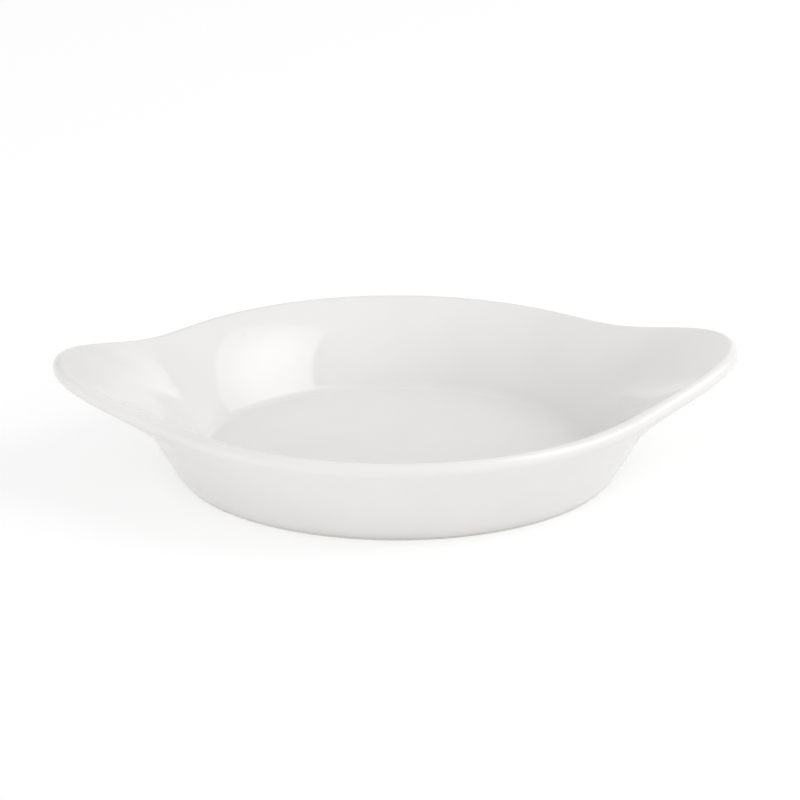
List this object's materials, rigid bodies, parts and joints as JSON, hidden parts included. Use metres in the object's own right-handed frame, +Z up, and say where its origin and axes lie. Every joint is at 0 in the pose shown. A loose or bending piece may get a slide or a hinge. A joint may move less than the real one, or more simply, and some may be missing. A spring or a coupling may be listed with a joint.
{
  "type": "gratin dish",
  "caption": "Round white porcelain gratin dish with a rounded lip and a rising ear at each side, for baking and serving a single portion.",
  "frame": {"origin": "middle of the foot ring, on the surface that the dish stands on", "axes": "+Z up out of the well, +X from the middle to one ear"},
  "size_m": [0.192, 0.1526, 0.0342],
  "materials": {
    "bare_porcelain": "fired, unglazed, fine matt",
    "white_glaze": "clear glossy glaze over white porcelain"
  },
  "bodies": {
    "root": {"porcelain_body": "bare_porcelain", "glaze_coat": "white_glaze", "underside_glaze": "white_glaze"}
  },
  "joints": []
}
